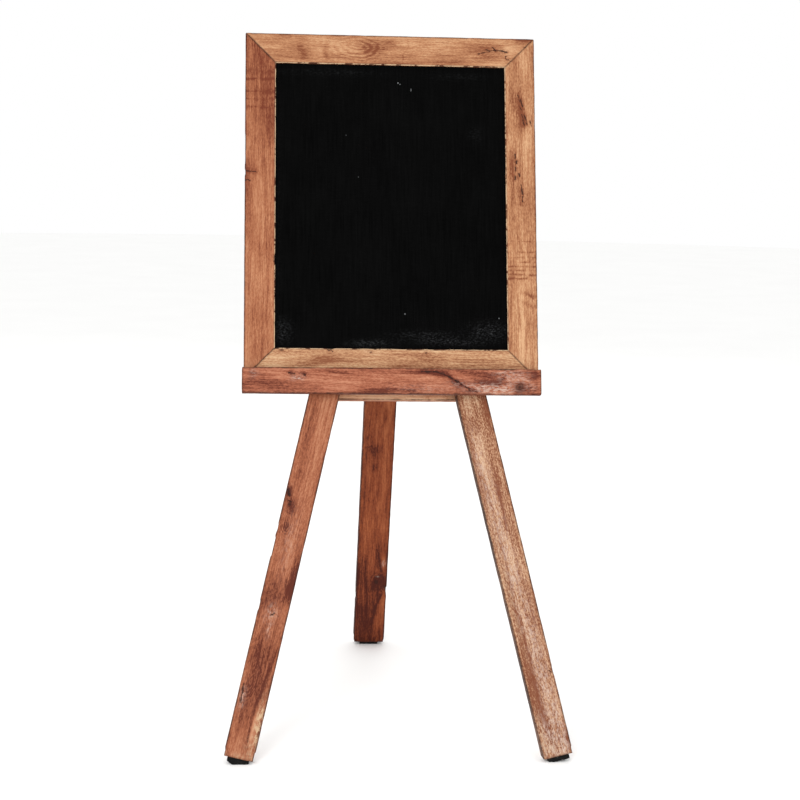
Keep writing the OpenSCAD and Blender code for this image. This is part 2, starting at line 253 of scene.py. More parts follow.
def timber(name, node, body, material, corners=None, weights=None, radius=1.3 * MM, chips=()):
    """A worn batten in place of a CAD node, dense enough to hold its chips and rubbed arrises."""
    place = Timber(node)
    corners = corners or block(place.half)
    section, centre = outline(corners, radius, weights or [SOUND] * len(corners))
    chips = [[n and n * MM for n in chip] for chip in chips]
    shift = seeded(name)
    build = bmesh.new()
    arris = build.verts.layers.float.new("arris")
    grime = build.verts.layers.float.new("grime")
    rings = []
    for share, inset, scale in ring_rows(place.half, radius):
        loop = []
        for point, out, weight in section:
            flat = centre + (point - centre) * scale
            low = place.end(-1, flat.x, flat.y)
            high = place.end(1, flat.x, flat.y)
            x = low + (high - low) * share + inset
            ripple = noise.noise(Vector((x, flat.x, flat.y)) * RIPPLE_RATE + shift) * RIPPLE
            at = Vector((x * RUB_RATES[0], flat.x * RUB_RATES[1], flat.y * RUB_RATES[1]))
            rub = max(0.0, noise.noise(at + shift) + 0.1)
            sunk = weight * rub * RUB_DEPTH + chip_depth(chips, x, flat.x, flat.y)
            if scale < 1.0:
                ripple = 0.0
                sunk *= 0.5
            moved = flat + out * (ripple - sunk)
            vertex = build.verts.new((x, moved.x, moved.y))
            vertex[arris] = weight
            vertex[grime] = math.exp(-max(min(x - low, high - x), 0.0) / END_REACH)
            loop.append(vertex)
        rings.append(loop)
    sleeve(build, rings)
    build.faces.new(list(reversed(rings[0])))
    build.faces.new(rings[-1])
    bmesh.ops.recalc_face_normals(build, faces=build.faces)
    carry(name, finished(name, build), node, body, material, place.matrix())


# ---------- shader graphs ----------

STUDIO = 1.52            # light on a surface that faces the camera, against the white world


def paint(red, green, blue):
    """A display colour of 0 to 255 as the linear colour that shaders use."""
    def linear(c):
        c /= 255
        return c / 12.92 if c <= 0.04045 else ((c + 0.055) / 1.055) ** 2.4
    return (linear(red), linear(green), linear(blue), 1.0)


def shown(red, green, blue):
    """The surface colour that shows as this display colour in the studio light."""
    return (*(c / STUDIO for c in paint(red, green, blue)[:3]), 1.0)


class Graph:
    """A short way to write shader nodes: each call adds a node and returns its output."""

    def __init__(self, name):
        self.material = bpy.data.materials.new(name)
        self.material.use_nodes = True
        self.tree = self.material.node_tree
        self.tree.nodes.clear()
        self.shader = self.tree.nodes.new("ShaderNodeBsdfPrincipled")
        end = self.tree.nodes.new("ShaderNodeOutputMaterial")
        self.tree.links.new(self.shader.outputs["BSDF"], end.inputs["Surface"])
        self.where = self.tree.nodes.new("ShaderNodeTexCoord").outputs["Object"]
        split = self.tree.nodes.new("ShaderNodeSeparateXYZ")
        self.tree.links.new(self.where, split.inputs[0])
        self.x, self.y, self.z = split.outputs

    def feed(self, socket, value):
        if isinstance(value, bpy.types.NodeSocket):
            self.tree.links.new(value, socket)
        else:
            socket.default_value = value

    def math(self, operation, a, b=0.0, c=0.0):
        made = self.tree.nodes.new("ShaderNodeMath")
        made.operation = operation
        for socket, value in zip(made.inputs, (a, b, c)):
            self.feed(socket, value)
        return made.outputs[0]

    def add(self, *values):
        total = values[0]
        for value in values[1:]:
            total = self.math("ADD", total, value)
        return total

    def times(self, *values):
        total = values[0]
        for value in values[1:]:
            total = self.math("MULTIPLY", total, value)
        return total

    def less(self, a, b):
        return self.math("SUBTRACT", a, b)

    def over(self, a, b):
        return self.math("DIVIDE", a, b)

    def far(self, x, y):
        """The length of (x, y)."""
        return self.math("SQRT", self.add(self.times(x, x), self.times(y, y)))

    def swing(self, value, size):
        """A value of 0 to 1 as a shift about 0, size from end to end."""
        return self.times(self.add(value, -0.5), size)

    def bell(self, off):
        """1 where off is 0, dying away as it passes 1."""
        return self.math("EXPONENT", self.times(off, off, -1.0))

    def stretch(self, factors, shift=(0.0, 0.0, 0.0), where=None):
        """The place to look up noise; one factor counts for all three axes."""
        made = self.tree.nodes.new("ShaderNodeVectorMath")
        made.operation = "MULTIPLY_ADD"
        self.feed(made.inputs[0], where or self.where)
        made.inputs[1].default_value = (factors,) * 3 if isinstance(factors, float) else factors
        made.inputs[2].default_value = shift
        return made.outputs[0]

    def join(self, x, y, z):
        made = self.tree.nodes.new("ShaderNodeCombineXYZ")
        for socket, value in zip(made.inputs, (x, y, z)):
            self.feed(socket, value)
        return made.outputs[0]

    def noise(self, where, detail=4.0, roughness=0.5):
        made = self.tree.nodes.new("ShaderNodeTexNoise")
        self.feed(made.inputs["Vector"], where)
        made.inputs["Scale"].default_value = 1.0
        made.inputs["Detail"].default_value = detail
        made.inputs["Roughness"].default_value = roughness
        return made.outputs["Fac"]

    def smooth(self, value, low, high):
        """0 below low and 1 above high; the other way round if low is above high."""
        made = self.tree.nodes.new("ShaderNodeMapRange")
        made.interpolation_type = "SMOOTHSTEP"
        self.feed(made.inputs["Value"], value)
        falls = low > high
        made.inputs["From Min"].default_value = min(low, high)
        made.inputs["From Max"].default_value = max(low, high)
        made.inputs["To Min"].default_value = 1.0 if falls else 0.0
        made.inputs["To Max"].default_value = 0.0 if falls else 1.0
        return made.outputs["Result"]

    def mix(self, share, a, b):
        made = self.tree.nodes.new("ShaderNodeMix")
        made.data_type = "RGBA"
        made.clamp_factor = True
        self.feed(made.inputs[0], share)
        self.feed(made.inputs[6], a)
        self.feed(made.inputs[7], b)
        return made.outputs[2]

    def ramp(self, value, stops):
        made = self.tree.nodes.new("ShaderNodeValToRGB")
        self.feed(made.inputs[0], value)
        elements = made.color_ramp.elements
        while len(elements) < len(stops):
            elements.new(0.5)
        for element, (place, colour) in zip(elements, stops):
            element.position = place
            element.color = colour
        return made.outputs["Color"]

    def mark(self, name):
        made = self.tree.nodes.new("ShaderNodeAttribute")
        made.attribute_name = name
        return made.outputs["Fac"]

    def oval(self, x, y, middle_x, middle_y, half_x, half_y):
        """Distance from an oval's middle: 1 on its rim."""
        dx = self.over(self.less(x, middle_x), half_x)
        dy = self.over(self.less(y, middle_y), half_y)
        return self.far(dx, dy)

    def stroke(self, x, y, x0, y0, x1, y1):
        """Distance from the straight line between (x0, y0) and (x1, y1)."""
        run_x = x1 - x0
        run_y = y1 - y0
        dx = self.less(x, x0)
        dy = self.less(y, y0)
        along = self.add(self.times(dx, run_x), self.times(dy, run_y))
        along = self.over(along, run_x ** 2 + run_y ** 2)
        along = self.math("MINIMUM", self.math("MAXIMUM", along, 0.0), 1.0)
        return self.far(self.less(dx, self.times(along, run_x)), self.less(dy, self.times(along, run_y)))

    def finish(self, colour, roughness, height, depth, specular=0.3, metallic=0.0):
        bump = self.tree.nodes.new("ShaderNodeBump")
        bump.inputs["Strength"].default_value = 1.0
        bump.inputs["Distance"].default_value = depth
        self.feed(bump.inputs["Height"], height)
        self.tree.links.new(bump.outputs["Normal"], self.shader.inputs["Normal"])
        self.feed(self.shader.inputs["Base Color"], colour)
        self.feed(self.shader.inputs["Roughness"], roughness)
        self.shader.inputs["Specular IOR Level"].default_value = specular
        self.shader.inputs["Metallic"].default_value = metallic
        return self.material


# ---------- wood ----------

BARE = shown(222, 188, 150)
# the dark of joints, checks and arris lines, and also of the painted shadow on a narrow side
DIRT_AND_SHADE = shown(48, 26, 20)
KNOT = shown(50, 24, 16)
SCUFF = shown(226, 200, 184)

RING_PITCH = 5.5 * MM       # growth rings
SIDE_BLEND = 1.2 * MM       # a narrow side's painted shade and painted shadow come in over this much before the edge
FRONT_BLEND = 4 * MM        # marks come in over this much in front of the middle of the thickness

# Noise in wood: rates along and across the grain, a multiple of the seed that shifts it,
# detail and roughness. Where two more numbers follow, that span is spread over 0 to 1.
# FLECK's rate along the grain is the piece's own.
DRIFT = (3.0, 14.0, 1, 2.0, 0.5)
SWAY = (9.0, 36.0, 2, 3.0, 0.5)
BROAD = (3.5, 60.0, 3, 5.0, 0.6, 0.3, 0.7)
THIN = (8.0, 260.0, 4, 4.0, 0.6, 0.3, 0.7)
FIBRE = (24.0, 620.0, 5, 3.0, 0.7, 0.36, 0.64)
CLOUD = (9.0, 26.0, 6, 5.0, 0.6, 0.3, 0.7)
FLECK = (460.0, 7, 3.0, 0.75, 0.38, 0.62)
PORES = (60.0, 900.0, 8, 2.0, 0.5, 0.62, 0.7)
BEND = (25.0, 45.0, 9, 3.0, 0.5)
BITTEN = (110.0, 300.0, 10, 6.0, 0.8, 0.43, 0.62)
CRACK = (60.0, 160.0, 11, 4.0, 0.6)
PATCHY = (70.0, 90.0, 12, 5.0, 0.65)
BROKEN = (150.0, 70.0, 13, 4.0, 0.7, 0.38, 0.6)
GAP = (130.0, 130.0, 14, 3.0, 0.6, 0.35, 0.65)


def wood(name, light, mid, dark, pith=(12, -30), tilt=0.02, figure=0.25, streaks=0.4, flecks=0.3,
         clouds=0.35, fleck_rate=190.0, edge=26 * MM, side_shade=0.35, side_shadow=0.0, knots=(), swirls=(),
         bands=(), stains=(), veins=(), checks=(), scuffs=(), rubs=(), bare=0.9, line=0.8, fade=None):
    """Oiled hardwood. The marks are given in the piece's own axes, in millimetres:
    knots (x, y, half length, half width), swirls (the same and a strength),
    bands (x, half length, strength) across the grain,
    stains, scuffs and rubs (x, y, half length, half width, strength),
    veins (x, y, x, y, width, strength) from point to point, checks (the same, no strength),
    fade [(x, tone), (x, tone)]. side_shadow paints shadow, mottled towards near-black, on the narrow side
    towards +y."""
    g = Graph(name)
    seed = seeded(name)
    knots = in_metres(knots, 4)

    def layer(along, across, turn, detail, rough, low=0.0, high=0.0, where=None):
        made = g.noise(g.stretch((along, across, across), seed * turn, where), detail, rough)
        return g.smooth(made, low, high) if high else made

    front = g.smooth(g.z, 0.0, FRONT_BLEND)
    drift = layer(*DRIFT)
    sway = layer(*SWAY)
    x = g.add(g.x, g.swing(sway, 40 * MM))
    y = g.add(g.y, g.swing(drift, 40 * MM), g.swing(sway, 8 * MM))
    z = g.add(g.z, g.swing(sway, 12 * MM))

    # growth rings about a pith that runs slightly askew behind the face
    off_y = g.add(y, -pith[0] * MM)
    off_z = g.add(z, -pith[1] * MM, g.times(g.x, tilt))
    ring = g.times(g.far(off_y, off_z), 1 / RING_PITCH)
    for kx, ky, half_x, half_y in knots:
        near = g.oval(g.x, g.y, kx, ky, half_x * 2.6, half_y * 2.2)
        ring = g.add(ring, g.times(g.bell(near), 3.4))
    late = g.add(g.times(g.math("SINE", g.times(ring, 2 * math.pi)), 0.5), 0.5)
    late = g.math("POWER", late, 2.0)

    # streaks, mottling and flecks along the grain
    along = g.join(g.x, y, z)
    broad = layer(*BROAD, along)
    thin = layer(*THIN, along)
    fibre = layer(*FIBRE)
    cloud = layer(*CLOUD)
    fleck = layer(fleck_rate, *FLECK)
    pores = layer(*PORES)
    tone = g.add(
        0.5, g.times(g.add(late, -0.4), figure), g.swing(broad, streaks), g.swing(thin, streaks * 0.7),
        g.swing(cloud, clouds), g.swing(fleck, flecks), g.swing(fibre, 0.28), g.times(pores, 0.2),
    )
    # painted shade: the narrow sides are made darker by side_shade
    side = g.smooth(g.math("ABSOLUTE", g.y), edge - SIDE_BLEND, edge)
    tone = g.add(tone, g.times(side, side_shade))
    bend = g.add(g.x, g.swing(layer(*BEND), 8 * MM))
    broken = layer(*BROKEN)
    for bx, half, strength in in_metres(bands, 2):
        band = g.bell(g.over(g.less(bend, bx), half))
        tone = g.add(tone, g.times(band, g.add(broken, 0.12), strength))
    for *place, strength in in_metres(stains, 4):
        share = g.bell(g.oval(x, y, *place))
        tone = g.add(tone, g.times(share, g.add(g.times(fleck, 0.2), 0.9), front, strength))
    for *run, width, strength in in_metres(veins, 5):
        share = g.bell(g.over(g.stroke(x, y, *run), width))
        tone = g.add(tone, g.times(share, g.add(g.times(fleck, 0.4), 0.8), front, strength))
    for *place, strength in in_metres(swirls, 4):
        near = g.oval(x, y, *place)
        rings = g.math("SINE", g.add(g.times(near, 17.0), g.times(thin, 1.5)))
        share = g.smooth(near, 1.9, 1.0)
        tone = g.add(tone, g.times(share, rings, g.add(cloud, 0.2), front, strength))
    if fade:
        (x0, tone0), (x1, tone1) = in_metres(fade, 1)
        tone = g.add(tone, tone0, g.times(g.smooth(g.x, x0, x1), tone1 - tone0))
    colour = g.ramp(tone, [(0.0, light), (0.5, mid), (1.0, dark)])

    # pale scuffs where the oil is rubbed off, flecked along the grain
    bitten = layer(*BITTEN)
    for pale, places in ((SCUFF, scuffs), (BARE, rubs)):
        for *place, strength in in_metres(places, 4):
            share = g.times(g.bell(g.oval(x, g.y, *place)), bitten, front, strength)
            colour = g.mix(share, colour, pale)
    # painted shadow: the narrow side towards +y is mottled towards near-black
    if side_shadow:
        inner = g.smooth(g.y, edge - SIDE_BLEND, edge)
        shadow_mottle = g.add(g.times(thin, 0.45), g.times(cloud, 0.35), g.times(fleck, 0.2), 0.25)
        colour = g.mix(g.times(inner, shadow_mottle, side_shadow), colour, DIRT_AND_SHADE)

    # knots and checks
    crack = layer(*CRACK)
    wander_x = g.add(g.x, g.swing(crack, 8 * MM))
    wander_y = g.add(g.y, g.swing(crack, 7 * MM))
    gap = layer(*GAP)
    hollow = g.times(pores, 0.3)
    for knot in knots:
        away = g.oval(wander_x, wander_y, *knot)
        eyes = g.add(g.times(g.math("SINE", g.times(away, 11.0)), 0.2), 0.8)
        core = g.times(g.smooth(away, 1.15, 0.45), eyes)
        halo = g.times(g.smooth(away, 2.3, 0.9), 0.45)
        colour = g.mix(halo, colour, dark)
        colour = g.mix(g.times(core, 0.9), colour, KNOT)
        hollow = g.add(hollow, g.times(core, 0.5))
    for *run, width in in_metres(checks, 5):
        away = g.stroke(wander_x, wander_y, *run)
        away = g.over(away, g.add(g.times(gap, 1.5), 0.25))
        cut = g.times(g.smooth(away, width, width * 0.4), front)
        rim = g.times(g.smooth(away, width * 3.5, width * 0.6), front, 0.5)
        colour = g.mix(rim, colour, dark)
        colour = g.mix(g.times(cut, 0.9), colour, DIRT_AND_SHADE)
        hollow = g.add(hollow, cut)

    # a dark line along sound arrises and joints, bare wood where an arris is rubbed
    patchy = layer(*PATCHY)
    arris = g.mark("arris")
    rubbed = g.times(g.smooth(arris, 0.6, 0.9), g.smooth(patchy, 0.43, 0.5), bare)
    dark_edges = g.times(g.smooth(arris, 0.22, 0.38), g.smooth(patchy, 0.75, 0.35), line)
    joint = g.times(g.smooth(g.mark("grime"), 0.3, 0.85), g.add(g.times(broken, 0.5), 0.5), line)
    dark_edges = g.math("MAXIMUM", dark_edges, joint)
    colour = g.mix(dark_edges, colour, DIRT_AND_SHADE)
    colour = g.mix(rubbed, colour, BARE)

    rough = g.add(0.5, g.times(thin, 0.1), g.times(rubbed, 0.2), g.times(bitten, 0.08))
    height = g.add(g.times(fibre, 0.5), g.times(thin, 0.25), g.times(late, 0.2), g.times(hollow, -1.4))
    return g.finish(colour, rough, height, 0.35 * MM, specular=0.12)


# ---------- the wooden pieces ----------

# light, middle and dark tone of each wood
TAN = (shown(226, 177, 134), shown(189, 131, 92), shown(134, 74, 46))
STRAW = (shown(230, 190, 148), shown(200, 148, 108), shown(146, 88, 58))
# painted light: the cross rail's tones are brighter than its wood, to light the strip in the lip's shade
RAIL_PAINTED_LIGHT = (shown(255, 206, 166), shown(232, 168, 128), shown(172, 102, 70))
RED_TAN = (shown(206, 145, 106), shown(172, 106, 72), shown(120, 56, 34))
RED = (shown(206, 142, 106), shown(168, 98, 67), shown(98, 42, 26))
LIP_RED = (shown(210, 144, 112), shown(172, 101, 73), shown(104, 46, 30))
PALE = (shown(226, 187, 153), shown(189, 139, 105), shown(134, 75, 49))
DARK = (shown(190, 112, 70), shown(150, 74, 42), shown(80, 30, 18))


def left_leg_look():
    return wood(
        "left_leg", *RED, pith=(30, -20), tilt=0.012, figure=0.1, streaks=0.18, flecks=0.27, clouds=0.3,
        knots=[(-137, 21.5, 8.5, 5), (-157, 15, 4, 3.5)],
        swirls=[(-190, 12, 16, 10, 0.25), (-460, 12, 22, 10, 0.15)],
        veins=[
            (-261, -10, -312, -18, 3, 0.35), (-264, 0.6, -300, -8, 1.8, 0.25),
            (-440, -17, -500, -12, 2, 0.4), (-500, -12, -560, -12, 2.2, 0.5),
            (-343, 6, -350, -8, 1.4, 0.3), (-128, 20, -160, 12, 2, 0.35),
        ],
        stains=[
            (-110, 10, 20, 14, 0.22), (-162, 11, 14, 12, 0.45), (-196, 12, 12, 9, 0.5),
            (-272, -21, 30, 8, 0.6), (-305, -16, 16, 10, 0.5), (-335, 14, 20, 10, 0.2),
            (-300, 4, 30, 20, 0.28), (-348, 0, 10, 14, -0.25), (-400, 16, 30, 10, 0.25),
            (-426, 4, 45, 18, 0.35), (-475, 4, 45, 20, 0.25), (-430, -18, 50, 6, 0.3),
            (30, 0, 60, 20, -0.1), (-545, -20, 35, 5, -0.5), (-570, -12, 12, 10, 0.3),
            (-570, 6, 20, 12, -0.15),
        ],
        scuffs=[
            (-346, 2, 14, 9, 0.5), (-485, 17, 20, 5, 0.6), (-370, 0, 14, 4, 0.45),
            (-220, 0, 50, 10, 0.2),
        ],
        rubs=[(-535, -19.5, 40, 5.5, 1.6), (-572, -14, 16, 10, 0.5), (-590, 0, 5, 30, 0.5)],
        checks=[
            (-349, 3, -343, -4, 0.8), (-470, 19.5, -500, 18.5, 0.8), (-130, 24, -140, 21, 2.1),
            (-135, 22.5, -143, 18.5, 1.9), (-151, 19, -153, 13, 1),
        ],
    )


def right_leg_look():
    return wood(
        "right_leg", *PALE, pith=(-20, -30), tilt=-0.01, figure=0.12, streaks=0.46, flecks=0.62,
        # the leg's left narrow side gets near-black painted shadow
        clouds=0.3, fleck_rate=240.0, side_shade=0.45, side_shadow=0.95,
        stains=[
            (-10, 6, 20, 10, 0.45), (20, -20, 30, 10, 0.3), (-50, -18, 110, 9, 0.4),
            (10, 0, 50, 30, 0.18), (-150, 10, 60, 30, -0.08), (-370, 0, 90, 30, 0.2),
            (-460, 0, 50, 30, 0.15), (-130, -5, 22, 4, 0.45), (-180, -1, 35, 4, 0.55),
            (-100, -4, 40, 8, 0.25), (-420, 18, 60, 6, 0.35), (-500, 16, 50, 7, 0.5),
            (-360, 14, 40, 6, 0.3), (-550, 12, 30, 5, 0.45), (-570, -18, 14, 6, 0.7),
            (-545, -4, 30, 4, 0.5), (-565, 0, 30, 30, 0.14), (-300, 18, 60, 4, 0.35),
            (-240, -12, 50, 4, 0.25),
        ],
        scuffs=[
            (-120, 10, 90, 10, 0.45), (-260, 4, 120, 11, 0.65), (-400, -6, 100, 10, 0.6),
            (-520, -12, 60, 10, 0.75), (-585, 0, 8, 20, 0.9), (-70, 14, 50, 6, 0.4),
            (-470, 0, 60, 6, 0.5), (-560, 8, 35, 20, 0.75), (-575, -14, 20, 8, 0.8),
        ],
        rubs=[(-578, 6, 14, 14, 0.4), (-545, 20, 35, 4, 0.7), (-300, 16, 100, 5, 0.4)],
        veins=[
            (-447, -16, -454, -24, 1, 0.9), (-566, 7, -565.5, -3, 1.1, 0.8),
            (-565.5, -3, -567, -16, 0.9, 0.45), (-130, -3, -205, -2, 1.6, 0.5),
        ],
        checks=[(-449, -19, -453, -22.5, 0.5)],
    )


def make_front_legs():
    timber("Left_leg", "left_front_leg", "stand", left_leg_look(),
           chips=[(-233, 26.2, None, 18, 1.9), (-335, 26.2, None, 10, 1), (-200, 26.2, None, 8, 0.9),
                  (-588, -26, None, 12, 2.2), (-590, 26, None, 10, 1.8)])
    timber("Right_leg", "right_front_leg", "stand", right_leg_look(),
           chips=[(-590, -26, None, 10, 1.8), (-450, -26.2, None, 8, 0.8)])


def cleat_look():
    return wood("cleat", *RED_TAN, figure=0.3, stains=[(20, 10, 30, 20, 0.3)], knots=[(-30, -18, 6, 5)])


def rail_look():
    return wood(
        "rail", *RAIL_PAINTED_LIGHT, figure=0.2, edge=25 * MM, bands=[(55, 4, 0.4), (85, 6, 0.3)],
        # the last stain, (0, -22, 250, 12, -0.5), is painted light that brightens the strip below the lip
        stains=[(-80, -22, 30, 6, 0.3), (70, -20, 50, 8, 0.2), (0, -22, 250, 12, -0.5)],
    )


def shelf_look():
    return wood("shelf", *RED, figure=0.3, bare=0.4)


def lip_look():
    return wood(
        "lip", *LIP_RED, pith=(-10, -40), tilt=0.03, figure=0.12, streaks=0.2, flecks=0.28, clouds=0.4,
        edge=22.5 * MM,
        veins=[
            (66, 17, 92, 12, 3, 0.6), (92, 12, 112, 0, 3, 0.6), (112, 0, 150, -18, 2.2, 0.45),
            (150, 4, 186, 5.5, 2, 0.5), (110, 19, 200, 16, 2, 0.35), (195, 11, 170, -1, 1.8, 0.4),
            (214, -17, 238, -5, 1.8, 0.35), (-20, -14, 30, -16, 1.8, 0.3),
        ],
        knots=[(219, -9, 8, 7), (-173, 11.5, 3.5, 1.5), (-151, 9.5, 2.2, 2.2)],
        swirls=[(-162, 8, 12, 7, 0.3), (10, -14, 30, 12, 0.1)],
        stains=[
            (-174, 12, 10, 5, 0.45), (-150, 10, 8, 6, 0.35), (-162, -2, 12, 4, 0.45),
            (-245, 4, 8, 18, 0.25), (50, 19, 40, 3, 0.6), (165, 10, 40, 8, 0.35),
            (66, 16.5, 22, 2.8, 0.9), (84, 12, 14, 5, 0.6), (112, -3, 10, 8, 0.55),
            (165, 1, 22, 2.2, 0.8), (176, -2, 10, 3, 0.6), (130, -16, 16, 2.5, 0.5),
            (245, 14, 8, 8, 0.75), (225, 19.5, 24, 2.5, 0.4), (243, -12, 14, 10, 0.3),
            (-90, 16, 30, 5, 0.35), (220, -9, 12, 9, 0.45), (-20, -16, 30, 6, 0.3),
            (-210, -10, 20, 4, 0.3),
        ],
        scuffs=[
            (-162, 4, 10, 4, 0.6), (155, -11, 30, 8, 0.7), (190, -14, 28, 6, 0.8), (200, 15, 20, 5, 0.5),
            (50, -12, 50, 6, 0.25), (205, 4, 18, 12, 0.5), (115, -4, 18, 5, 0.4), (226, 6, 12, 10, 0.5),
            (236, -10, 12, 6, 0.4), (-166, 6, 12, 6, 0.3), (-243, 12, 8, 8, 0.3),
        ],
        checks=[
            (50, 16.8, 70, 16.5, 1.6), (70, 16.5, 90, 12.7, 2), (90, 12.7, 107, 2.5, 1.6),
            (107, 2.5, 119, -4.3, 1.2), (119, -4.3, 133, -14.6, 1.2), (133, -14.6, 146, -18, 1),
            (-178, 12.6, -168, 12.2, 1.4), (-152, 11, -148, 7, 1.2),
        ],
    )


def make_stand():
    timber("Head_cleat", "head_cleat", "stand", cleat_look())
    timber("Cross_rail", "cross_rail", "stand", rail_look())
    timber("Ledge_shelf", "ledge_shelf", "stand", shelf_look())
    timber("Ledge_lip", "ledge_lip", "stand", lip_look(),
           chips=[(-245, 22.5, 6, 8, 1.2), (248, 22.5, 6, 8, 1.2)])


def rear_leg_look():
    # The fade is painted shade: the leg is darkened towards its foot.
    return wood(
        "rear_leg", *DARK, pith=(-10, -30), tilt=0.006, figure=0.14, streaks=0.26, flecks=0.24,
        clouds=0.35, fade=[(-460, 0.36), (-250, 0.02)], edge=31 * MM,
        knots=[(-426, -9, 7, 3.5), (-438, -28.5, 6, 4.5)],
        veins=[
            (-439, 0.3, -421, 0.2, 2.2, 0.45), (-421, 0.2, -409, -8.2, 2, 0.5),
            (-409, -8.2, -406, -16.8, 2, 0.55), (-406, -16.8, -416, -21.5, 2, 0.45),
            (-432, -4, -414, -11, 1.4, 0.35), (-414, -11, -420, -16, 1.4, 0.35),
            (-456, -18.2, -488, -5, 2.6, 0.5), (-488, -5, -529, 1.5, 2.6, 0.4),
            (-345, -7, -370, -13, 3, 0.28), (-370, -13, -396, -16, 2.4, 0.32),
            (-113, 24, -110, 6, 2, 0.18), (-20, -10, -50, -12, 3, 0.25),
        ],
        stains=[
            (-116, 10, 12, 10, 0.35), (-157, 6.5, 12, 6, 0.4), (-90, 20, 10, 8, 0.2),
            (-200, -18, 170, 8, -0.25), (-50, 0, 90, 40, -0.1), (-428, -12, 22, 14, 0.4),
            (-475, -23, 30, 7, -0.5), (-380, -22, 20, 5, -0.4), (-530, -14, 40, 12, -0.3),
            (-500, 14, 40, 10, 0.25), (-410, 30, 15, 3, 0.6),
        ],
        scuffs=[(-379, -22.5, 7, 3.5, 0.8), (-441, -27.5, 3, 1, 0.8), (-408, -12, 2, 4, 0.5)],
    )


def make_rear_leg():
    timber("Rear_leg", "rear_leg", "rear_leg", rear_leg_look(),
           chips=[(-448, -31, None, 10, 2.6), (-578, 31, None, 12, 3), (-470, 31, None, 6, 1.2),
                  (-578, -31, None, 8, 1.6)])


def frame_section(half, inner):
    """A rebated frame member's section; inner is the sign of y at its inner edge."""
    deep = 15 * MM
    wide = 8 * MM
    y, z = half.y, half.z
    points = [(-y, -z), (y - wide, -z), (y - wide, -z + deep), (y, -z + deep), (y, z), (-y, z)]
    weights = [SOUND, SOUND, 0.0, SOUND, 1.0, SOUND]
    if inner < 0:
        points = [(-a, b) for a, b in reversed(points)]
        weights = list(reversed(weights))
    return points, weights


def frame_member(name, inner, material, chips=()):
    node = "frame_" + name.lower()
    points, weights = frame_section(Timber(node).half, inner)
    timber(name, node, "chalkboard", material, points, weights, 1.0 * MM, chips)


def top_rail_look():
    return wood(
        "top_rail", *TAN, figure=0.12, streaks=0.2, flecks=0.24, clouds=0.35,
        veins=[(222, 25, 256, 24, 2.6, 0.95), (150, -6, 205, 3, 3, 0.15), (-205, 16, -120, 12, 3, 0.15)],
        swirls=[(-60, 6, 30, 15, 0.3)],
        stains=[
            (-35, 4, 18, 13, 0.5), (-155, -4, 8, 16, 0.35), (-110, -4, 5, 16, 0.3),
            (-5, 12, 12, 6, 0.35), (150, 14, 50, 6, 0.25), (120, -14, 20, 5, 0.25),
            (190, -16, 30, 4, -0.35), (215, 12, 20, 6, -0.35), (236, 22, 16, 4, 0.7),
            (24, 0, 1.2, 22, 0.25), (180, 2, 22, 6, 0.12),
        ],
        checks=[
            (154, -3, 182, 4, 0.9), (182, 4, 206, 2, 1.3), (168, 5, 184, 4, 0.8), (180, 10, 186, 3, 1),
            (203, -6, 205, -10, 1.4), (205, -10, 208, -12, 1.4),
        ],
    )


def bottom_rail_look():
    return wood(
        "bottom_rail", *STRAW, figure=0.15, streaks=0.32, flecks=0.35, clouds=0.3,
        knots=[(-190, 22, 4, 2)],
        stains=[
            (-120, 4, 20, 5, 0.2), (60, 6, 30, 10, 0.2), (-200, -4, 25, 8, -0.5),
            (160, -10, 50, 6, -0.25),
        ],
        checks=[
            (-112, 25.5, -108, 22.5, 1.2), (-105, 24.5, -102, 21.5, 1.2), (-38.5, 20.5, -37, 20.5, 1.6),
            (58, 20, 60, 20, 1.6),
        ],
    )


def left_stile_look():
    return wood(
        "left_stile", *RED_TAN, figure=0.12, streaks=0.24, flecks=0.24, clouds=0.35,
        fade=[(-220, -0.1), (220, 0.14)],
        bands=[
            (236, 3.5, 0.24), (222, 2.8, 0.4), (199, 4.5, 0.34), (186, 2.4, 0.26), (172, 3, 0.3),
            (-20, 6, 0.1),
        ],
        stains=[
            (190, -12, 60, 9, 0.26), (130, -16, 50, 6, 0.25), (250, 4, 30, 12, 0.15),
            (55, 14, 6, 12, 0.2), (-100, -14, 80, 6, 0.25), (-20, 6, 50, 10, -0.2),
            (-246, 4, 20, 12, 0.25),
        ],
        checks=[(58.5, 26.6, 56.5, 8, 1.4), (41, 26.6, 40, 18, 1.2)],
    )


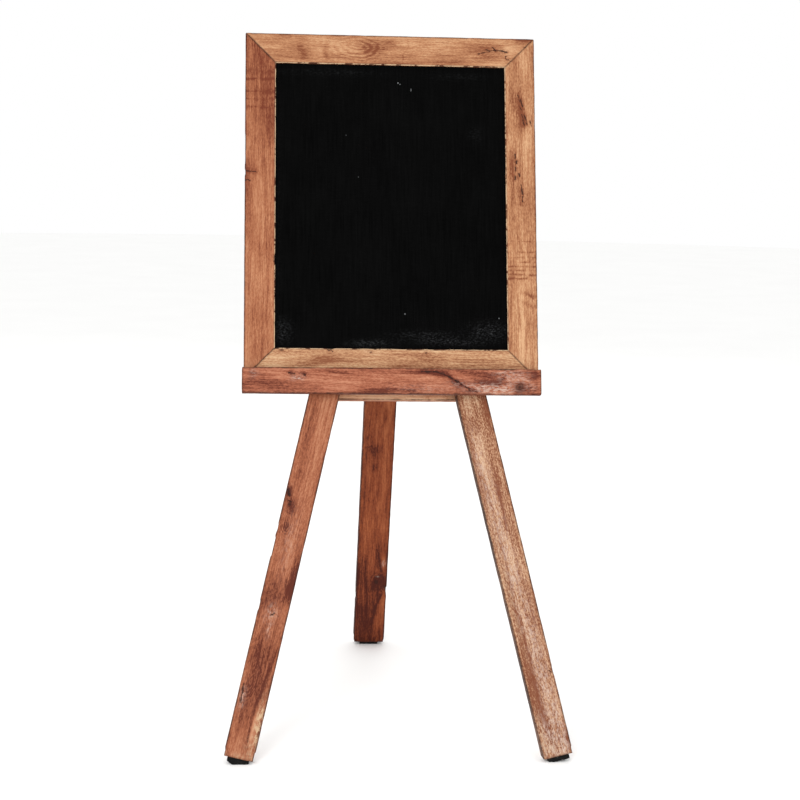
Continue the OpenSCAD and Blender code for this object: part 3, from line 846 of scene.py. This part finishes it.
def right_stile_look():
    return wood(
        "right_stile", *TAN, figure=0.13, streaks=0.26, flecks=0.3, clouds=0.3, line=0.65,
        veins=[
            (205, 4, 180, -3, 4.5, 0.3), (175, -3, 150, -10, 4.5, 0.35), (195, 10, 170, 6, 3, 0.2),
            (35, 0, 5, -4, 3, 0.25),
        ],
        bands=[
            (-60, 1.4, 0.3), (-78, 1.4, 0.3), (-88, 1.4, 0.34), (-97, 1.6, 0.38), (-105, 1.6, 0.44),
            (-112, 1.3, 0.4), (-120, 2, 0.62), (-127, 1.8, 0.5),
        ],
        stains=[
            (184, -2, 20, 5, 0.35), (158, -8, 14, 6, 0.45), (170, 0, 30, 10, 0.2),
            (205, 14, 20, 4, 0.35), (82, 9, 22, 8, 0.5), (60, 7, 14, 8, 0.35), (-98, -18, 20, 4, 0.2),
            (-112, 18, 24, 6, 0.15), (-156, -13, 4, 12, 0.5), (-174, -12, 4, 12, 0.3),
            (-220, 4, 50, 10, -0.2), (250, -2, 40, 14, -0.15), (120, -10, 30, 10, -0.2),
            (-190, 6, 30, 3, 0.4),
        ],
        checks=[
            (202, 3, 190, 0, 0.6), (196, -1, 181, -5.5, 0.9), (184, 1, 176, -2, 0.7),
            (168, -3, 156, -7, 0.8), (166, -8, 151, -11.5, 1.1), (158, -4.5, 147, -8, 0.8),
            (155, -18, 147, -20, 1), (96, 10, 88, 9.5, 1.6), (83, 7.5, 79, 7, 2), (72, 9.5, 66, 9, 1.4),
            (58, 10.5, 50, 9.5, 1.4), (60, 3, 56, 2.5, 1.2), (42, 0.5, 24, -3, 1.3),
            (20, -3, 10, -3.5, 1.1),
        ],
    )


def make_board():
    frame_member("Top_rail", -1, top_rail_look())
    frame_member("Bottom_rail", 1, bottom_rail_look(), [(-106, 26.6, 10.2, 6, 1.6)])
    frame_member("Left_stile", -1, left_stile_look(),
                 [(57.5, 26.6, None, 6, 1.4), (-96, -26.6, 10.2, 8, 2.2), (100, 26.6, None, 30, 0.6)])
    frame_member("Right_stile", 1, right_stile_look())
    timber("Chalk_panel", "chalk_panel", "chalkboard", blackboard(), radius=0.5 * MM)


def blackboard():
    """Blackboard paint with specks and smears of chalk on the front, bare hardboard behind.
    A smear or speck is (x, y, half length, half width, strength), in millimetres."""
    g = Graph("blackboard")
    brushed = g.noise(g.stretch((14.0, 520.0, 60.0)), 4.0, 0.65)
    weave = g.noise(g.stretch((520.0, 60.0, 60.0)), 3.0, 0.6)
    cloud = g.noise(g.stretch((9.0, 12.0, 9.0)), 5.0, 0.6)
    grain = g.noise(g.stretch(900.0), 2.0)
    shade = g.add(g.times(brushed, 0.45), g.times(weave, 0.15), g.times(cloud, 0.25), g.times(grain, 0.15))
    front = g.ramp(shade, [(0.38, shown(2, 2, 2)), (0.62, shown(11, 11, 11))])
    wiped = g.noise(g.stretch((420.0, 210.0, 90.0), (3.0, 5.0, 7.0)), 7.0, 0.8)
    wiped = g.smooth(wiped, 0.47, 0.7)
    smears = [
        (-219, -170, 14, 30, 0.5), (-238, -105, 6, 50, 0.45), (-242, 39, 6, 36, 0.5),
        (-222, 188, 18, 14, 0.45), (238, 100, 6, 80, 0.12), (235, -120, 6, 50, 0.1),
        (-228, -60, 8, 50, 0.3), (0, 196, 200, 6, 0.05), (130, -150, 12, 12, 0.12),
    ]
    for *place, strength in in_metres(smears, 4):
        share = g.times(g.bell(g.oval(g.x, g.y, *place)), wiped, strength)
        front = g.mix(share, front, shown(96, 98, 100))
    specks = [
        (221.4, -13, 1.2, 1, 0.6), (219, -16.5, 1, 1, 0.35), (209.2, -35.8, 2.8, 0.6, 0.4),
        (-190, -23.4, 1.4, 1, 0.4), (125.5, 78.3, 0.9, 0.9, 0.14), (51.1, 56.9, 0.8, 0.8, 0.2),
        (-196, -187, 1.2, 0.9, 0.4),
    ]
    for *place, strength in in_metres(specks, 4):
        away = g.oval(g.x, g.y, *place)
        front = g.mix(g.times(g.smooth(away, 1.3, 0.6), strength), front, shown(170, 172, 174))
    pulp = g.noise(g.stretch(160.0), 5.0, 0.7)
    back = g.ramp(pulp, [(0.35, shown(96, 62, 38)), (0.65, shown(138, 96, 62))])
    colour = g.mix(g.smooth(g.z, -1.2 * MM, 0.5 * MM), back, front)
    return g.finish(colour, 0.85, g.add(shade, g.times(pulp, 0.4)), 0.1 * MM, specular=0.02)


make_front_legs()
make_stand()
make_rear_leg()
make_board()


# ---------- rubber and steel ----------

METAL_EASE = 0.15 * MM      # how far sharp edges are rounded over
PIN_EASE = 0.3 * MM
NAIL_EASE = 0.1 * MM
STAND_PROUD = 0.35 * MM     # some screw heads in wood stand this far out of it
RUBBER_NET = 0.5 * MM       # size of the faces on a rubber pad
RUBBER_ROUNDING = 5         # how often a pad is smoothed; each pass rounds its edges more
RUBBER_LUMPS = 0.5 * MM
STAPLE_STEPS = 60           # along a mitre fastener, with its waves and their height
STAPLE_WAVES = 5
STAPLE_HEIGHT = 1.1 * MM
STAPLE_THICK = 0.55 * MM
STAPLE_PROUD = 0.3 * MM


def rubber():
    """Dull black rubber, dusty in streaks."""
    g = Graph("rubber")
    grain = g.noise(g.stretch(700.0), 3.0)
    streak = g.noise(g.stretch((90.0, 90.0, 380.0)), 5.0, 0.7)
    dusty = g.smooth(streak, 0.5, 0.72)
    scuffed = g.smooth(g.noise(g.stretch(240.0), 4.0, 0.7), 0.56, 0.68)
    colour = g.mix(g.times(dusty, 0.5), shown(7, 7, 7), shown(54, 50, 44))
    colour = g.mix(g.times(scuffed, 0.35), colour, shown(110, 104, 96))
    return g.finish(colour, g.add(0.7, g.times(dusty, 0.2)), grain, 0.15 * MM, specular=0.12)


def steel(name, bright, dull, roughness, rust=0.15):
    """Plated steel with a crystalline mottle, fine scratches and rust in its low spots."""
    g = Graph(name)
    crystals = g.smooth(g.noise(g.stretch(260.0), 3.0, 0.6), 0.35, 0.65)
    scratches = g.noise(g.stretch((1800.0, 120.0, 300.0)), 3.0)
    spots = g.smooth(g.noise(g.stretch(330.0, (2.0, 4.0, 6.0)), 5.0, 0.7), 0.54, 0.66)
    colour = g.mix(crystals, bright, dull)
    colour = g.mix(g.times(spots, rust), colour, paint(112, 66, 38))
    rough = g.add(roughness, g.times(scratches, 0.2), g.times(spots, 0.2))
    height = g.add(crystals, scratches, g.times(spots, -0.6))
    return g.finish(colour, rough, height, 0.04 * MM, specular=0.5, metallic=1.0)


def welded(node):
    """A copy of a CAD node's mesh with its faces joined up."""
    build = bmesh.new()
    build.from_mesh(frame["nodes"][node].data)
    bmesh.ops.remove_doubles(build, verts=build.verts, dist=0.001 * MM)
    return build


def machined(name, body, material, ease=METAL_EASE, lift=0.0):
    """Metal with rounded edges; lift moves it out of the wood, towards the back."""
    node = name.lower()
    build = welded(node)
    bmesh.ops.dissolve_limit(build, angle_limit=math.radians(1), verts=build.verts, edges=build.edges)
    sharp = [e for e in build.edges if len(e.link_faces) == 2 and e.calc_face_angle(0.0) > SHARP]
    bmesh.ops.bevel(build, geom=sharp, offset=ease, segments=2, profile=0.5,
                    affect="EDGES", clamp_overlap=True)
    bmesh.ops.translate(build, verts=build.verts, vec=FRONT * -lift)
    carry(name, finished(name, build), node, body, material)


def worn_off(node, side, share, slope):
    """The plane that trims a pad's outer lower corner: it starts at this share of the
    pad's width from its outer side and rises outwards."""
    low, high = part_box(node)
    outer = high[0] if side > 0 else low[0]
    start = outer - side * share * (high[0] - low[0])
    angle = math.radians(slope)
    return Vector((start, low[1], low[2])), Vector((side * math.sin(angle), 0.0, -math.cos(angle)))


def trim(build, at, away):
    """Take off what lies past the plane through at, towards away, and close the solid."""
    everything = [*build.verts, *build.edges, *build.faces]
    bmesh.ops.bisect_plane(build, geom=everything, plane_co=at, plane_no=away, clear_outer=True)
    rim = [e for e in build.edges if e.is_boundary]
    bmesh.ops.triangle_fill(build, edges=rim, use_beauty=True, normal=away)
    bmesh.ops.recalc_face_normals(build, faces=build.faces)


def netted(mesh, size):
    """The same solid under an even net of small faces."""
    holder = added("Holder", mesh)
    net = holder.modifiers.new("Net", "REMESH")
    net.mode = "VOXEL"
    net.voxel_size = size
    graph = bpy.context.evaluated_depsgraph_get()
    made = bpy.data.meshes.new_from_object(holder.evaluated_get(graph))
    bpy.data.objects.remove(holder)
    return made


def moulded(name, body, material, cut=None):
    """A rubber pad: trimmed, rounded, slightly lumpy and chewed at its edges."""
    node = name.lower()
    build = welded(node)
    if cut:
        trim(build, *cut)
    mesh = netted(finished("Net", build), RUBBER_NET)
    build = bmesh.new()
    build.from_mesh(mesh)
    for _ in range(RUBBER_ROUNDING):
        bmesh.ops.smooth_vert(build, verts=build.verts, factor=0.5,
                              use_axis_x=True, use_axis_y=True, use_axis_z=True)
    build.normal_update()
    shift = seeded(name)
    for vertex in build.verts:
        lump = noise.noise(vertex.co * 160 + shift) + 0.5 * noise.noise(vertex.co * 480 + shift)
        vertex.co -= vertex.normal * max(0.0, lump + 0.2) * RUBBER_LUMPS
    carry(name, finished(name, build), node, body, material)


def solids(node):
    """The points of each separate solid in a CAD node."""
    build = welded(node)
    groups = []
    seen = set()
    for first in build.verts:
        if first in seen:
            continue
        seen.add(first)
        group = [first]
        for vertex in group:
            for edge in vertex.link_edges:
                other = edge.other_vert(vertex)
                if other not in seen:
                    seen.add(other)
                    group.append(other)
        groups.append([v.co.copy() for v in group])
    build.free()
    return groups


def corrugated(name, body, material):
    """Wavy steel fasteners driven across the back of the mitres."""
    node = name.lower()
    build = bmesh.new()
    for points in solids(node):
        middle = sum(points, Vector()) / len(points)
        flat = [p - middle - FRONT * (p - middle).dot(FRONT) for p in points]
        long = max(flat, key=lambda v: v.length)
        half = long.length
        long = long.normalized()
        across = FRONT.cross(long)
        deep = max((p - middle).dot(FRONT) for p in points)
        rows = []
        for i in range(STAPLE_STEPS + 1):
            u = 2 * i / STAPLE_STEPS - 1
            wave = STAPLE_HEIGHT * math.sin(math.pi * STAPLE_WAVES * u)
            row = []
            for side, out in ((-1, -1), (1, -1), (1, 1), (-1, 1)):
                reach = -deep - STAPLE_PROUD if out < 0 else deep
                at = middle + long * (u * half) + across * (wave + side * STAPLE_THICK / 2)
                row.append(build.verts.new(at + FRONT * reach))
            rows.append(row)
        sleeve(build, rows)
        build.faces.new(rows[0])
        build.faces.new(list(reversed(rows[-1])))
    bmesh.ops.recalc_face_normals(build, faces=build.faces)
    carry(name, finished(name, build), node, body, material)


def make_hardware():
    zinc = steel("zinc", paint(198, 198, 194), paint(150, 150, 148), 0.3)
    yellow = steel("yellow_zinc", paint(206, 188, 130), paint(160, 140, 90), 0.26)
    bright = steel("nail", paint(176, 176, 178), paint(128, 128, 130), 0.34, rust=0.4)
    black = rubber()
    machined("Hinge_fixed_leaf", "stand", zinc)
    machined("Hinge_moving_leaf", "rear_leg", zinc)
    machined("Hinge_pin", "stand", zinc, PIN_EASE)
    machined("Hinge_fixed_screws", "stand", yellow)
    machined("Hinge_moving_screws", "rear_leg", yellow)
    machined("Head_cleat_screws", "stand", yellow, lift=STAND_PROUD)
    machined("Cross_rail_screws", "stand", yellow, lift=STAND_PROUD)
    machined("Ledge_shelf_screws", "stand", yellow)
    machined("Ledge_lip_nails", "stand", bright, NAIL_EASE)
    machined("Front_pad_nails", "stand", bright, NAIL_EASE)
    machined("Rear_pad_nails", "rear_leg", bright, NAIL_EASE)
    machined("Panel_pins", "chalkboard", bright, NAIL_EASE)
    corrugated("Mitre_staples", "chalkboard", bright)
    moulded("Left_foot_pad", "stand", black, worn_off("left_foot_pad", -1, 0.26, 38))
    moulded("Right_foot_pad", "stand", black, worn_off("right_foot_pad", 1, 0.72, 12))
    moulded("Rear_foot_pad", "rear_leg", black)


make_hardware()


# ---------- stage, light and camera ----------

FLOOR_RADIUS = 14.0
CAMERA_AT = Vector((-0.293, -3.625, 1.084))
CAMERA_YAW, CAMERA_PITCH, CAMERA_ROLL = -4.98, 8.16, 1.13
LENS = 90.0


def make_floor():
    g = Graph("floor")
    soft = g.noise(g.stretch(3.0), 3.0)
    colour = g.mix(soft, paint(249, 249, 248), paint(254, 254, 253))
    g.finish(colour, 0.9, soft, 0.1 * MM, specular=0.1)
    build = bmesh.new()
    bmesh.ops.create_circle(build, cap_ends=True, segments=96, radius=FLOOR_RADIUS)
    floor = added("Floor", finished("Floor", build))
    floor.data.materials.append(g.material)


def area_light(name, at, target, size, power):
    data = bpy.data.lights.new(name, "AREA")
    data.shape = "DISK"
    data.size = size
    data.energy = power
    lamp = added(name, data)
    lamp.location = at
    lamp.rotation_euler = (Vector(target) - Vector(at)).to_track_quat("-Z", "Y").to_euler()


def make_stage():
    make_floor()
    scene = bpy.context.scene
    world = bpy.data.worlds.new("Studio")
    world.use_nodes = True
    background = world.node_tree.nodes["Background"]
    background.inputs["Color"].default_value = (1.0, 1.0, 1.0, 1.0)
    background.inputs["Strength"].default_value = 1.0
    scene.world = world
    area_light("Key", (-1.6, -4.2, 2.2), (0, 0, 0.6), 1.8, 100)
    area_light("Fill", (1.9, -4.0, 0.8), (0, 0, 0.5), 1.8, 40)
    area_light("Back", (0.5, 3.6, 3.2), (0, 0.2, 0.6), 2.4, 30)
    scene.view_settings.view_transform = "Standard"
    scene.view_settings.look = "None"
    data = bpy.data.cameras.new("Camera")
    data.lens = LENS
    data.sensor_width = 36.0
    camera = added("Camera", data)
    turn = Matrix.Rotation(math.radians(CAMERA_YAW), 4, "Z")
    turn @= Matrix.Rotation(math.radians(90 - CAMERA_PITCH), 4, "X")
    turn @= Matrix.Rotation(math.radians(CAMERA_ROLL), 4, "Z")
    camera.matrix_world = Matrix.Translation(CAMERA_AT) @ turn
    scene.camera = camera


make_stage()
